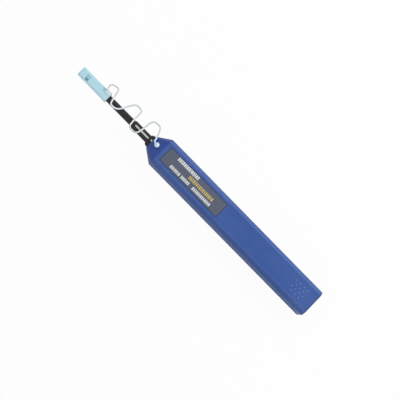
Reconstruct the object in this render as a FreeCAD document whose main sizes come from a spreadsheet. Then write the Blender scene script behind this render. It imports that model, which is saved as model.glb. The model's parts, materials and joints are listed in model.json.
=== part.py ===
"""Fibre connector cleaning pen, one-click type, for 1.25 mm ferrules.

X runs along the pen towards the nozzle, Z is the normal of the front (label) face and Y runs across.
The origin is the centre of the casing's flat back face. Millimetres.

The user presses the nozzle on a connector and pushes the casing forward. The carriage, which holds
the nozzle, slides back into the casing against the return spring. A rack in the back shell turns the
feed pinion, which winds the cleaning thread on, and a pin in the front shell turns the grooved cam
barrel, and the cleaning tip with it, by half a turn.
"""
import FreeCAD, Part
import math
import os
import re

import Sketcher

Vector = FreeCAD.Vector
ALONG = Vector(1, 0, 0)
ACROSS = Vector(0, 1, 0)
UP = Vector(0, 0, 1)

SIZES = {
    # casing
    "casing_length": 161.0,
    "casing_width": 22.0,
    "casing_depth": 17.5,
    "casing_wall": 1.3,
    "edge_bevel": 2.8,
    "back_bevel": 0.9,
    "shoulder_length": 9.6,
    "neck_width": 9.7,
    "neck_height": 9.2,
    "neck_bevel": 1.2,
    "neck_land": 5.5,
    "tail_round": 0.7,
    "lip_width": 0.55,
    "lip_height": 0.8,
    "label_length": 56.3,
    "label_width": 12.6,
    "label_inset": 3.1,
    "label_thickness": 0.2,
    "label_recess": 0.25,
    "label_corner": 0.6,
    "boss_radius": 1.5,
    "peg_radius": 0.7,
    "peg_length": 2.0,
    "guide_rib": 1.0,
    "guide_rib_offset": 6.0,
    "fit_gap": 0.05,
    "slide_gap": 0.1,
    "rest_gap": 0.3,
    # nose collar
    "collar_length": 3.0,
    "collar_rear_diameter": 9.4,
    "collar_front_diameter": 7.4,
    "collar_spigot_diameter": 7.7,
    "collar_bead": 0.4,
    "bead_length": 1.0,
    "edge_chamfer": 0.3,
    # carriage
    "push_stroke": 9.0,
    "spring_space": 21.2,
    "floor_height": 2.0,
    "floor_thickness": 1.2,
    "carriage_width": 17.6,
    "carriage_height": 11.2,
    "carriage_wall": 1.2,
    "channel_width": 13.6,
    "bearing_wall": 1.5,
    "cover_thickness": 1.2,
    "block_length": 11.0,
    "guide_run": 16.0,
    "support_place": 0.5,
    "guide_post_radius": 0.6,
    # return spring
    "spring_diameter": 6.0,
    "spring_wire": 0.7,
    "spring_turns": 7.0,
    "spring_peg_length": 3.0,
    # reels and feed gear
    "post_radius": 1.0,
    "hub_radius": 2.2,
    "supply_radius": 7.2,
    "supply_pack": 5.5,
    "take_up_radius": 6.2,
    "take_up_pack": 3.0,
    "reel_spacing": 2.6,
    "reel_margin": 1.0,
    "reel_height": 7.3,
    "reel_flange": 0.6,
    "gear_module": 0.5,
    "gear_teeth": 18,
    "gear_width": 2.0,
    "gear_backlash": 0.08,
    "pressure_angle": 20.0,
    "rack_back": 2.0,
    # cam barrel
    "barrel_radius": 4.0,
    "barrel_length": 24.0,
    "barrel_bore": 1.6,
    "journal_radius": 2.9,
    "end_play": 0.2,
    "groove_width": 2.2,
    "groove_depth": 1.2,
    "groove_start": 5.5,
    "groove_lead": 18.0,
    "groove_overrun": 20.0,
    "follower_radius": 0.7,
    "key_width": 1.2,
    "key_radius": 2.2,
    # nozzle
    "sleeve_diameter": 6.3,
    "sleeve_reach": 15.0,
    "sleeve_flange_radius": 3.9,
    "sleeve_flange": 1.5,
    "slot_width": 1.45,
    "slot_taper": 1.3,
    "tube_diameter": 5.2,
    "tube_reach": 36.5,
    "tube_overlap": 22.0,
    "tube_bore": 1.7,
    "nose_length": 7.0,
    "nose_diameter": 4.2,
    "nose_bore": 0.7,
    "extend_stroke": 14.0,
    "slider_width": 1.6,
    "slider_depth": 0.5,
    "slider_length": 17.7,
    "button_radius": 0.6,
    "button_stand": 0.2,
    "button_depth": 0.4,
    "button_offset": 0.7,
    # cleaning tip and thread
    "shaft_radius": 1.4,
    "shaft_flat": 0.95,
    "shaft_taper": 2.5,
    "probe_radius": 0.62,
    "probe_flat": 0.22,
    "probe_length": 6.4,
    "thread_radius": 0.15,
    "thread_offset": 1.3,
    # cap
    "cap_length": 27.0,
    "cap_width": 6.8,
    "cap_corner": 0.8,
    "cap_band": 0.15,
    "cap_band_length": 3.5,
    "cap_overlap": 11.5,
    "lid_thickness": 1.35,
    "latch_width": 3.6,
    "latch_length": 5.0,
    "latch_thickness": 0.55,
    "window_width": 4.0,
    "window_length": 2.7,
    "window_place": 7.2,
    "window_share": 0.3,
    "tooth_width": 2.2,
    "tooth_length": 2.1,
    "ferrule_bore": 0.65,
    "guide_length": 12.5,
    "funnel_radius": 1.3,
    "funnel_length": 1.0,
    # tether
    "tether_diameter": 1.15,
    "strap_swing": 12.0,
    "strap_lift": 1.7,
    "ball_diameter": 3.7,
    "stem_radius": 0.9,
    "lug_length": 5.0,
    "lug_thickness": 0.7,
    "lug_height": 3.2,
    "lug_pin_radius": 0.6,
    "lug_pin_depth": 0.55,
}

PLACES = {
    # along the pen
    "tail": "-casing_length / 2",
    "neck_front": "casing_length / 2",
    "shoulder": "neck_front - shoulder_length",
    "land_rear": "neck_front - neck_land",
    "collar_step": "neck_front + collar_length / 2",
    "collar_front": "neck_front + collar_length",
    "sleeve_front": "collar_front + sleeve_reach",
    "tube_front": "sleeve_front + tube_reach",
    "probe_front": "tube_front + probe_length",
    "cap_rear": "tube_front - cap_overlap",
    "cap_front": "cap_rear + cap_length",
    "lid_rear": "cap_front - lid_thickness",
    "tail_inside": "tail + casing_wall",
    "carriage_rear": "tail_inside + spring_space",
    "carriage_front": "shoulder - rest_gap * 2",
    "block_rear": "carriage_front - block_length",
    "supply_centre": "carriage_rear + carriage_wall + reel_margin + supply_radius",
    "take_up_centre": "supply_centre + supply_radius + reel_spacing + take_up_radius",
    "rack_pitch": "gear_module * pi",
    "rack_teeth_behind": "ceil(push_stroke / rack_pitch) + 2",
    "rack_teeth": "rack_teeth_behind + 3",
    "rack_length": "rack_pitch * rack_teeth",
    "rack_rear": "take_up_centre - (rack_teeth_behind + 0.5) * rack_pitch",
    "rack_front": "rack_rear + rack_length",
    "bay_reach": "max(rack_front + push_stroke; take_up_centre + take_up_radius)",
    "reel_bay_end": "bay_reach + carriage_wall + 2 * rest_gap",
    "barrel_rear": "reel_bay_end + guide_run",
    "barrel_front": "barrel_rear + barrel_length",
    "barrel_bay_rear": "barrel_rear - end_play",
    "barrel_bay_front": "barrel_front + end_play",
    "support_rear": "barrel_bay_front + bearing_wall + (block_rear - barrel_bay_front) * support_place",
    "groove_rear": "barrel_rear + groove_start",
    "label_front": "shoulder - label_inset",
    "sleeve_rear": "block_rear + bearing_wall",
    "flange_front": "sleeve_rear + sleeve_flange",
    "tube_rear": "sleeve_front - tube_overlap",
    "button_place": "neck_front + button_offset",
    "slider_rear": "button_place - slider_width",
    "slot_rear": "button_place - slot_width / 2 - slide_gap",
    "slot_front": "button_place + extend_stroke + slot_width / 2 + slide_gap",
    "nose_rear": "tube_front - nose_length",
    "shaft_rear": "barrel_rear + end_play + key_width",
    "shaft_step": "tube_front - probe_length + key_width",
    "guide_rear": "lid_rear - guide_length",
    "window_centre": "cap_front - window_place",
    "lug_rear": "cap_rear + rest_gap",
    "peg_x": "shoulder + shoulder_length / 2",
    "first_bend": "supply_centre + supply_radius + reel_spacing / 2",
    "second_bend": "take_up_centre + take_up_radius + reel_spacing / 2",
    "third_bend": "barrel_rear - guide_run / 3",
    # across
    "wall_inside": "casing_width / 2 - casing_wall",
    "carriage_inside": "carriage_width / 2 - carriage_wall",
    "channel_inside": "channel_width / 2 - carriage_wall",
    "gear_pitch_radius": "gear_module * gear_teeth / 2",
    "gear_tip_radius": "gear_pitch_radius + gear_module",
    "gear_root_radius": "gear_pitch_radius - 1.25 * gear_module",
    "gear_base_radius": "gear_pitch_radius * cos(pressure_angle)",
    "rack_root": "gear_pitch_radius + 1.25 * gear_module",
    "thread_lane": "(take_up_radius + carriage_inside) / 2",
    "thread_bend": "guide_post_radius + thread_radius + slide_gap",
    "probe_lane": "probe_flat + thread_radius + fit_gap",
    # up
    "axis_height": "casing_depth / 2",
    "floor_top": "floor_height + floor_thickness",
    "cover_bottom": "floor_height + carriage_height",
    "cover_top": "cover_bottom + cover_thickness",
    "gear_bottom": "floor_top + slide_gap * 2",
    "gear_top": "gear_bottom + gear_width",
    "reel_bottom": "gear_top + slide_gap * 2",
    "roof_inside": "casing_depth - casing_wall",
    "sleeve_top": "axis_height + sleeve_diameter / 2",
    "cap_half": "cap_width / 2",
    "peg_z": "(casing_depth + axis_height + neck_height / 2) / 2",
    # how far the shoulder's facets have come in at the front pegs
    "shoulder_rise": "(casing_depth - neck_height) * boss_radius / shoulder_length + casing_wall / 2",
}

doc = FreeCAD.newDocument("cleaning_pen")
sizes = doc.addObject("Spreadsheet::Sheet", "Sizes")
places = doc.addObject("Spreadsheet::Sheet", "Places")


def bound(expression):
    """Return an expression whose size names point at the sheet that holds them."""
    def owner(match):
        word = match[0]
        if word in SIZES:
            return "Sizes." + word
        return "Places." + word if word in PLACES else word
    return re.sub(r"[a-z][a-z_]*", owner, str(expression))


def value(expression):
    """The present value of an expression of size names."""
    return float(sizes.evalExpression(bound(expression)))


for row, (name, number) in enumerate(SIZES.items(), 1):
    sizes.set(f"A{row}", name)
    sizes.set(f"B{row}", str(number))
    sizes.setAlias(f"B{row}", name)
doc.recompute()
for row, (name, formula) in enumerate(PLACES.items(), 1):
    places.set(f"A{row}", name)
    places.set(f"B{row}", "=" + bound(formula))
    places.setAlias(f"B{row}", name)
    doc.recompute()


# ---------------------------------------------------------------- modelling helpers

def new_body(label, place=("0", "0", "0")):
    """A PartDesign body whose placement follows three expressions."""
    body = doc.addObject("PartDesign::Body", label)
    body.Label = label
    for axis, expression in zip("xyz", place):
        body.setExpression(f"Placement.Base.{axis}", bound(expression))
    return body


def new_sketch(body, role, offset="0", shift="0", turn=None):
    """A sketch on one of the body's own planes, moved along the plane's normal.

    XY_Plane gives sketch axes X, Y and normal Z; XZ_Plane gives X, Z and normal -Y;
    YZ_Plane gives Y, Z and normal X. shift moves the sketch along its own first axis, and turn,
    an axis and an angle, turns it.
    """
    sketch = body.newObject("Sketcher::SketchObject", body.Label + "_sketch")
    plane = next(feature for feature in body.Origin.OriginFeatures if feature.Role == role)
    sketch.AttachmentSupport = (plane, "")
    sketch.MapMode = "FlatFace"
    if turn:
        sketch.AttachmentOffset = FreeCAD.Placement(Vector(), FreeCAD.Rotation(turn[0], 1))
        sketch.setExpression("AttachmentOffset.Rotation.Angle", bound(turn[1]))
    sketch.setExpression("AttachmentOffset.Base.x", bound(shift))
    sketch.setExpression("AttachmentOffset.Base.z", bound(offset))
    return sketch


def pin_point(sketch, geometry, position, point):
    """Hold one point of a sketch at a pair of expressions."""
    for kind, expression in zip(("DistanceX", "DistanceY"), point):
        rule = Sketcher.Constraint(kind, geometry, position, value(expression))
        constraint = sketch.addConstraint(rule)
        sketch.setExpression(f"Constraints[{constraint}]", bound(expression))


def add_outline(sketch, points):
    """Add a closed outline of straight edges through points given as pairs of expressions."""
    corners = [Vector(value(x), value(y), 0) for x, y in points]
    first = sketch.GeometryCount
    count = len(points)
    for index in range(count):
        sketch.addGeometry(Part.LineSegment(corners[index], corners[(index + 1) % count]))
    for index in range(count):
        following = first + (index + 1) % count
        sketch.addConstraint(Sketcher.Constraint("Coincident", first + index, 2, following, 1))
        pin_point(sketch, first + index, 1, points[index])
    return sketch


def add_rectangle(sketch, left, right, bottom, top):
    return add_outline(sketch, [(left, bottom), (right, bottom), (right, top), (left, top)])


def add_circle(sketch, radius, centre=("0", "0")):
    circle = Part.Circle(Vector(value(centre[0]), value(centre[1]), 0), Vector(0, 0, 1), value(radius))
    index = sketch.addGeometry(circle)
    pin_point(sketch, index, 3, centre)
    constraint = sketch.addConstraint(Sketcher.Constraint("Radius", index, value(radius)))
    sketch.setExpression(f"Constraints[{constraint}]", bound(radius))
    return sketch


def feature(body, kind, sketch, **settings):
    """Add a sketch-based PartDesign feature; settings that are expressions are bound."""
    added = body.newObject("PartDesign::" + kind, body.Label + "_" + kind.lower())
    added.Profile = sketch
    for name, setting in settings.items():
        if isinstance(setting, str) and name in ("Length", "Angle", "Pitch", "Height"):
            added.setExpression(name, bound(setting))
        else:
            setattr(added, name, setting)
    sketch.Visibility = False
    return added


def pad(body, sketch, length, reverse=False):
    return feature(body, "Pad", sketch, Length=length, Reversed=reverse)


def pocket(body, sketch, length, along_normal=True):
    """Cut a pocket; a plain pocket runs against the sketch's normal."""
    return feature(body, "Pocket", sketch, Length=length, Reversed=along_normal)


def revolve(body, sketch, axis="H_Axis"):
    turned = feature(body, "Revolution", sketch, ReferenceAxis=(sketch, [axis]))
    turned.Angle = 360
    return turned


def loft(body, kind, near, far):
    lofted = feature(body, kind, near, Ruled=True)
    lofted.Sections = [(far, [""])]
    return lofted


def both_ways(half):
    """A pair of expressions the same distance either side of the middle."""
    return f"-({half})", half


def block(body, kind, x, y, z):
    """Pad or cut a box between three pairs of expressions."""
    sketch = add_rectangle(new_sketch(body, "XY_Plane", z[0]), x[0], x[1], y[0], y[1])
    height = f"({z[1]}) - ({z[0]})"
    return pad(body, sketch, height) if kind == "Pad" else pocket(body, sketch, height)


def post(body, kind, radius, x, y, z):
    """Pad or cut an upright round post or hole."""
    sketch = add_circle(new_sketch(body, "XY_Plane", z[0]), radius, (x, y))
    height = f"({z[1]}) - ({z[0]})"
    return pad(body, sketch, height) if kind == "Pad" else pocket(body, sketch, height)


def bore(body, kind, radius, height, x):
    """Pad or cut a round bar or hole that runs along X."""
    sketch = add_circle(new_sketch(body, "YZ_Plane", x[0]), radius, ("0", height))
    length = f"({x[1]}) - ({x[0]})"
    return pad(body, sketch, length) if kind == "Pad" else pocket(body, sketch, length)


def turned_outline(body, points, plane="XZ_Plane", axis="H_Axis"):
    """Revolve a half outline about the body's own X axis, or its Z axis."""
    return revolve(body, add_outline(new_sketch(body, plane), points), axis)


def copy_around(body, original, axis_role, copies):
    """Repeat a feature about one of the body's axes."""
    pattern = body.newObject("PartDesign::PolarPattern", body.Label + "_around")
    axis = next(item for item in body.Origin.OriginFeatures if item.Role == axis_role)
    pattern.Originals = [original]
    pattern.Axis = (axis, [""])
    pattern.Angle = 360
    pattern.setExpression("Occurrences", bound(copies))
    body.Tip = pattern
    return pattern


def copy_along(body, original, axis_role, length, copies):
    """Repeat a feature along one of the body's axes."""
    pattern = body.newObject("PartDesign::LinearPattern", body.Label + "_along")
    axis = next(item for item in body.Origin.OriginFeatures if item.Role == axis_role)
    pattern.Originals = [original]
    pattern.Direction = (axis, [""])
    pattern.setExpression("Length", bound(length))
    pattern.setExpression("Occurrences", bound(copies))
    body.Tip = pattern
    return pattern


def dress(body, kind, base, size, wanted):
    """Fillet or chamfer the edges of a feature that pass a test."""
    doc.recompute()
    names = [f"Edge{number}" for number, edge in enumerate(base.Shape.Edges, 1) if wanted(edge)]
    dressed = body.newObject("PartDesign::" + kind, body.Label + "_" + kind.lower())
    dressed.Base = (base, names)
    dressed.setExpression("Radius" if kind == "Fillet" else "Size", bound(size))
    return dressed


def runs_along(edge, axis):
    """Whether a straight edge is parallel to a row axis."""
    if not isinstance(edge.Curve, Part.Line):
        return False
    return abs(edge.tangentAt(edge.FirstParameter).dot(axis)) > 0.999


def lies_at(edge, axis, expression):
    """Whether both ends of an edge lie in a plane across a row axis."""
    level = value(expression)
    return all(abs(vertex.Point.dot(axis) - level) < 1e-4 for vertex in edge.Vertexes)


# ---------------------------------------------------------------- casing

def half_section(sketch, half_width, near, far, bevel):
    """One half of a casing section: square at the parting plane, bevelled at the outer face."""
    return add_outline(sketch, [
        (f"-({half_width})", near),
        (half_width, near),
        (half_width, f"{far} - ({bevel})"),
        (f"{half_width} - abs({bevel})", far),
        (f"abs({bevel}) - ({half_width})", far),
        (f"-({half_width})", f"{far} - ({bevel})"),
    ])


def half_disc(sketch, radius, side):
    """A half disc on the parting plane, on the side +1 (up) or -1 (down)."""
    height = value("axis_height")
    size = value(radius)
    centre = Vector(0, height, 0)
    start, stop = (0, math.pi) if side > 0 else (math.pi, 2 * math.pi)
    arc = sketch.addGeometry(Part.ArcOfCircle(Part.Circle(centre, Vector(0, 0, 1), size), start, stop))
    ends = [Vector(side * size, height, 0), Vector(-side * size, height, 0)]
    line = sketch.addGeometry(Part.LineSegment(ends[1], ends[0]))
    sketch.addConstraint(Sketcher.Constraint("Coincident", arc, 2, line, 1))
    sketch.addConstraint(Sketcher.Constraint("Coincident", line, 2, arc, 1))
    sketch.addConstraint(Sketcher.Constraint("Horizontal", line))
    pin_point(sketch, arc, 3, ("0", "axis_height"))
    constraint = sketch.addConstraint(Sketcher.Constraint("Radius", arc, size))
    sketch.setExpression(f"Constraints[{constraint}]", bound(radius))
    return sketch


def casing_half(label, side):
    """A hollow half shell with its tapered shoulders, neck land, bore and spring peg.

    side is 1 for the front half, above the parting plane, and -1 for the back half.
    """
    outer_face = "casing_depth" if side > 0 else "0"
    bevel = "edge_bevel" if side > 0 else "-back_bevel"
    neck_face = f"axis_height + {side} * neck_height / 2"
    neck_bevel = f"{side} * neck_bevel"
    inner_face = f"{outer_face} - {side} * casing_wall"
    # an offset outline's bevel is shorter by this share of the wall
    inner_bevel = f"{bevel} - {side} * casing_wall * (2 - sqrt(2))" if side > 0 else "-slide_gap"
    taper = "neck_land / shoulder_length"
    land_half = f"neck_width / 2 + (casing_width - neck_width) / 2 * {taper} - casing_wall"
    land_face = (f"axis_height + {side} * (neck_height / 2"
                 f" + (casing_depth - neck_height) / 2 * {taper} - casing_wall)")

    body = new_body(label)

    def section(place, half_width, face, corner):
        return half_section(new_sketch(body, "YZ_Plane", place), half_width, "axis_height", face, corner)

    pad(body, section("tail", "casing_width / 2", outer_face, bevel), "casing_length - shoulder_length")
    wide = section("shoulder", "casing_width / 2", outer_face, bevel)
    slim = section("neck_front", "neck_width / 2", neck_face, neck_bevel)
    outside = loft(body, "AdditiveLoft", wide, slim)
    dress(body, "Fillet", outside, "tail_round",
          lambda edge: lies_at(edge, ALONG, "tail") and not lies_at(edge, UP, "axis_height"))

    pocket(body, section("tail_inside", "wall_inside", inner_face, inner_bevel), "shoulder - tail_inside")
    near = section("shoulder", "wall_inside", inner_face, inner_bevel)
    far = section("land_rear", land_half, land_face, neck_bevel)
    loft(body, "SubtractiveLoft", near, far)
    bore(body, "Pocket", "collar_spigot_diameter / 2", "axis_height", ("land_rear - 1", "neck_front + 1"))
    peg_half = "spring_diameter / 2 - spring_wire - slide_gap"
    peg = half_disc(new_sketch(body, "YZ_Plane", "tail_inside"), peg_half, side)
    pad(body, peg, "spring_peg_length")
    return body


def lip_outline(sketch, clearance):
    """The U-shaped joint line along both sides and the tail, inside the wall's thickness."""
    inner = f"wall_inside - {clearance}"
    outer = f"wall_inside + lip_width + {clearance}"
    rear = f"tail_inside - lip_width - {clearance}"
    return add_outline(sketch, [
        ("shoulder", f"-({outer})"), (rear, f"-({outer})"), (rear, outer), ("shoulder", outer),
        ("shoulder", inner), (f"tail_inside + {clearance}", inner),
        (f"tail_inside + {clearance}", f"-({inner})"), ("shoulder", f"-({inner})"),
    ])


def peg_places():
    """The shells' locating pegs, as x, y and how far they stay from the front and back faces."""
    rear, front = "tail_inside + boss_radius", "shoulder + boss_radius"
    side = "wall_inside - 2 * boss_radius"
    wall = "casing_wall - rest_gap"
    return [(rear, side, wall), (rear, f"-({side})", wall),
            (front, side, "shoulder_rise"), (front, f"-({side})", "shoulder_rise")]


def guide_ribs(body, low, high):
    """Two long ribs that guide the carriage."""
    for side in (1, -1):
        middle = f"{side} * guide_rib_offset"
        block(body, "Pad", ("carriage_rear - push_stroke", "shoulder"),
              (f"{middle} - guide_rib / 2", f"{middle} + guide_rib / 2"), (low, high))


def tether_hole(body):
    """The peg's hole, square to the front shoulder facet."""
    slope = "atan((casing_depth - neck_height) / 2 / shoulder_length)"
    sketch = new_sketch(body, "XY_Plane", "peg_z", "peg_x", (ACROSS, slope))
    add_circle(sketch, "stem_radius + fit_gap / 5")
    return pocket(body, sketch, "casing_wall * 1.6", along_normal=False)


def make_front_shell():
    body = casing_half("front_shell", 1)
    lip = lip_outline(new_sketch(body, "XY_Plane", "axis_height"), "fit_gap")
    pocket(body, lip, "lip_height + fit_gap")
    for x, y, inset in peg_places():
        post(body, "Pad", "boss_radius", x, y, ("axis_height", f"casing_depth - ({inset})"))
        post(body, "Pad", "peg_radius", x, y, ("axis_height - peg_length", "axis_height"))
    guide_ribs(body, "cover_top + slide_gap", "roof_inside + rest_gap")
    post(body, "Pad", "follower_radius * 2.5", "groove_rear", "0",
         ("cover_top + rest_gap", "roof_inside + rest_gap"))
    post(body, "Pocket", "follower_radius + fit_gap / 5", "groove_rear", "0",
         ("cover_top", "casing_depth - casing_wall / 2"))
    block(body, "Pocket", ("label_front - label_length - fit_gap", "label_front + fit_gap"),
          ("-label_width / 2 - fit_gap", "label_width / 2 + fit_gap"),
          ("casing_depth - label_recess", "casing_depth + 1"))
    tether_hole(body)


def rack_tooth(body):
    """One tooth of the feed rack: straight flanks at the pressure angle, pointing to +Y."""
    middle = "(rack_rear + rack_pitch / 2)"
    half_pitch_line = "(rack_pitch / 2 - gear_backlash) / 2"
    tip = f"({half_pitch_line} - gear_module * tan(pressure_angle))"
    root = f"({half_pitch_line} + 1.25 * gear_module * tan(pressure_angle))"
    foot = "-rack_root - fit_gap"
    crest = "gear_module - gear_pitch_radius"
    outline = [(f"{middle} - {root}", foot), (f"{middle} + {root}", foot),
               (f"{middle} + {tip}", crest), (f"{middle} - {tip}", crest)]
    return pad(body, add_outline(new_sketch(body, "XY_Plane", "gear_bottom"), outline), "gear_width")


def make_back_shell():
    body = casing_half("back_shell", -1)
    pad(body, lip_outline(new_sketch(body, "XY_Plane", "axis_height"), "0"), "lip_height")
    for x, y, inset in peg_places():
        post(body, "Pad", "boss_radius", x, y, (inset, "axis_height"))
        post(body, "Pocket", "peg_radius + fit_gap / 2", x, y,
             ("axis_height - peg_length - rest_gap", "axis_height"))
    guide_ribs(body, "casing_wall - rest_gap", "floor_height - slide_gap")
    block(body, "Pad", ("rack_rear", "rack_front"), ("-rack_root - rack_back", "-rack_root"),
          ("casing_wall - rest_gap", "gear_top"))
    copy_along(body, rack_tooth(body), "X_Axis", "rack_pitch * (rack_teeth - 1)", "rack_teeth")


def make_nose_collar():
    """A tapered collar, snapped into the neck; a groove in its bore and a hole clear the lock button."""
    body = new_body("nose_collar", ("0", "0", "axis_height"))
    hole = "sleeve_diameter / 2 + slide_gap"
    spigot = "collar_spigot_diameter / 2"
    bead = "land_rear - slide_gap"
    front = "collar_front_diameter / 2"
    turned_outline(body, [
        (f"{bead} - bead_length", hole), ("collar_front", hole),
        ("collar_front", front), ("collar_step", "collar_rear_diameter / 2"),
        ("neck_front", "collar_rear_diameter / 2"),
        ("neck_front", spigot), (bead, spigot), (bead, f"{spigot} + collar_bead"),
        (f"{bead} - bead_length / 2", f"{spigot} + collar_bead"), (f"{bead} - bead_length", spigot),
    ])
    groove = "sleeve_diameter / 2 + button_stand + slide_gap"
    block(body, "Pocket", ("land_rear - 2 * bead_length", "collar_front + 1"),
          both_ways("slot_width / 2 + slide_gap"), ("0", groove))
    post(body, "Pocket", "button_radius + slide_gap", "button_place", "0", ("0", "collar_rear_diameter"))


def make_label():
    plate = doc.addObject("Part::Box", "label_plate")
    plate.setExpression("Length", bound("label_length"))
    plate.setExpression("Width", bound("label_width"))
    plate.setExpression("Height", bound("label_thickness"))
    plate.setExpression("Placement.Base.x", bound("label_front - label_length"))
    plate.setExpression("Placement.Base.y", bound("-label_width / 2"))
    plate.setExpression("Placement.Base.z", bound("casing_depth - label_recess"))
    doc.recompute()
    rounded = doc.addObject("Part::Fillet", "label")
    rounded.Base = plate
    radius = value("label_corner")
    rounded.Edges = [(number, radius, radius) for number, edge in enumerate(plate.Shape.Edges, 1)
                     if runs_along(edge, UP)]
    rounded.Label = "label"


def make_follower_pin():
    pin = doc.addObject("Part::Cylinder", "follower_pin")
    pin.Label = "follower_pin"
    pin.setExpression("Radius", bound("follower_radius"))
    foot = "(axis_height + barrel_radius - groove_depth + slide_gap * 1.5)"
    pin.setExpression("Height", bound(f"casing_depth - casing_wall / 2 - fit_gap - {foot}"))
    pin.setExpression("Placement.Base.x", bound("groove_rear"))
    pin.setExpression("Placement.Base.z", bound(foot))


def make_return_spring():
    body = new_body("return_spring", ("tail_inside", "0", "axis_height"))
    wire = add_circle(new_sketch(body, "XZ_Plane"), "spring_wire / 2",
                      ("spring_wire / 2 + fit_gap", "(spring_diameter - spring_wire) / 2"))
    travel = "(spring_space - spring_wire - 2 * fit_gap)"
    feature(body, "AdditiveHelix", wire, ReferenceAxis=(wire, ["H_Axis"]), Mode=0,
            Pitch=f"{travel} / spring_turns", Height=travel)


# ---------------------------------------------------------------- carriage

def carriage_outline(sketch):
    """Wide round the reels and at the front block, slimmer along the barrel and shaft."""
    wide, slim = "carriage_width / 2", "channel_width / 2"
    upper = [("carriage_front", wide), ("block_rear", wide), ("block_rear", slim),
             ("reel_bay_end", slim), ("reel_bay_end", wide), ("carriage_rear", wide)]
    lower = [(x, f"-({y})") for x, y in reversed(upper)]
    return add_outline(sketch, upper + lower)


def bearing_seat(body, radius, x):
    """A bearing seat, open at the top so that its shaft drops in."""
    bore(body, "Pocket", radius, "axis_height", x)
    block(body, "Pocket", x, (f"-({radius})", radius), ("axis_height", "cover_bottom + 1"))


def make_carriage():
    body = new_body("carriage")
    pad(body, carriage_outline(new_sketch(body, "XY_Plane", "floor_height")), "carriage_height")
    bays = new_sketch(body, "XY_Plane", "floor_top")
    rear, channel = "carriage_inside", "channel_inside"
    bay_rear = "carriage_rear + carriage_wall"
    bay_step = "reel_bay_end - carriage_wall"
    bay_front = "barrel_bay_rear - bearing_wall"
    upper = [(bay_front, channel), (bay_step, channel), (bay_step, rear), (bay_rear, rear)]
    add_outline(bays, upper + [(x, f"-{y}") for x, y in reversed(upper)])
    add_rectangle(bays, "barrel_bay_rear", "barrel_bay_front", f"-{channel}", channel)
    add_rectangle(bays, "barrel_bay_front + bearing_wall", "support_rear", f"-{channel}", channel)
    add_rectangle(bays, "support_rear + bearing_wall", "block_rear", f"-{channel}", channel)
    pocket(body, bays, "carriage_height")
    bearing_seat(body, "journal_radius + fit_gap", (bay_front, "barrel_bay_front + bearing_wall"))
    bearing_seat(body, "tube_bore", ("support_rear", "sleeve_rear"))
    bearing_seat(body, "sleeve_flange_radius + fit_gap", ("sleeve_rear", "flange_front + fit_gap"))
    bearing_seat(body, "sleeve_diameter / 2 + fit_gap / 5", ("flange_front", "carriage_front + 1"))
    feet = {"supply_centre": "reel_bottom - slide_gap", "take_up_centre": "gear_bottom - slide_gap"}
    for x, foot in feet.items():
        post(body, "Pad", "hub_radius", x, "0", ("floor_height", foot))
        post(body, "Pad", "post_radius", x, "0", ("floor_height", "cover_bottom + cover_thickness / 2"))
    for side in (1, -1):
        post(body, "Pad", "guide_post_radius", "third_bend + slide_gap * 2",
             f"{side} * (thread_offset + thread_bend)", ("floor_height", "cover_bottom - slide_gap"))
    bore(body, "Pad", "spring_diameter / 2 - spring_wire - slide_gap", "axis_height",
         ("carriage_rear - spring_peg_length", "carriage_rear + carriage_wall / 2"))
    # the rack passes through the floor and runs forward past it on the stroke
    block(body, "Pocket", ("rack_rear - rest_gap", "rack_front + push_stroke + rest_gap"),
          ("-rack_root - rack_back - rest_gap", "-rack_root + rest_gap"),
          ("floor_height - 1", "floor_top"))


def make_carriage_cover():
    """The lid of the carriage: it shuts the bearing seats and carries two thread posts."""
    body = new_body("carriage_cover")
    pad(body, carriage_outline(new_sketch(body, "XY_Plane", "cover_bottom")), "cover_thickness")
    journal = "journal_radius - rest_gap"
    tabs = [
        ("barrel_bay_rear - bearing_wall", "barrel_bay_rear", journal, "journal_radius + slide_gap"),
        ("barrel_bay_front", "barrel_bay_front + bearing_wall", journal, "journal_radius + slide_gap"),
        ("flange_front + slide_gap", "carriage_front",
         "sleeve_diameter / 2 - rest_gap", "sleeve_diameter / 2 + slide_gap"),
    ]
    for rear, front, half, clear in tabs:
        block(body, "Pad", (rear, front), both_ways(half), (f"axis_height + {clear}", "cover_bottom"))
    clearance = "follower_radius + rest_gap"
    block(body, "Pocket", (f"groove_rear - ({clearance})", f"groove_rear + push_stroke + {clearance}"),
          both_ways(clearance), ("cover_bottom - 1", "cover_top"))
    for x in ("supply_centre", "take_up_centre"):
        post(body, "Pocket", "post_radius + fit_gap", x, "0", ("cover_bottom - 1", "cover_top"))
    for x in ("first_bend", "second_bend - slide_gap * 2"):
        post(body, "Pad", "guide_post_radius", x, "thread_bend - thread_lane",
             ("gear_top + rest_gap * 3", "cover_bottom"))


# ---------------------------------------------------------------- feed gear and reels

def involute_flank(side, steps=4):
    """One flank of a tooth, from its root to its tip, as pairs of expressions.

    A point of the involute is given by its roll in degrees; the tooth's middle is turned so that a
    tooth space faces the rack.
    """
    middle = "(180 / gear_teeth - 90)"
    half_at_base = "(90 / gear_teeth + tan(pressure_angle) * 180 / pi - pressure_angle)"
    full_roll = "sqrt(pow(gear_tip_radius / gear_base_radius; 2) - 1)"
    start = f"({middle} - {side} * {half_at_base})"
    root = "(gear_root_radius - fit_gap)"
    points = [(f"{root} * cos({start})", f"{root} * sin({start})")]
    for step in range(steps + 1):
        roll = f"({full_roll} * {step} / {steps})"
        angle = f"({start} + {side} * {roll} * 180 / pi)"
        points.append((f"gear_base_radius * (cos({angle}) + {side} * {roll} * sin({angle}))",
                       f"gear_base_radius * (sin({angle}) - {side} * {roll} * cos({angle}))"))
    return points


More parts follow.
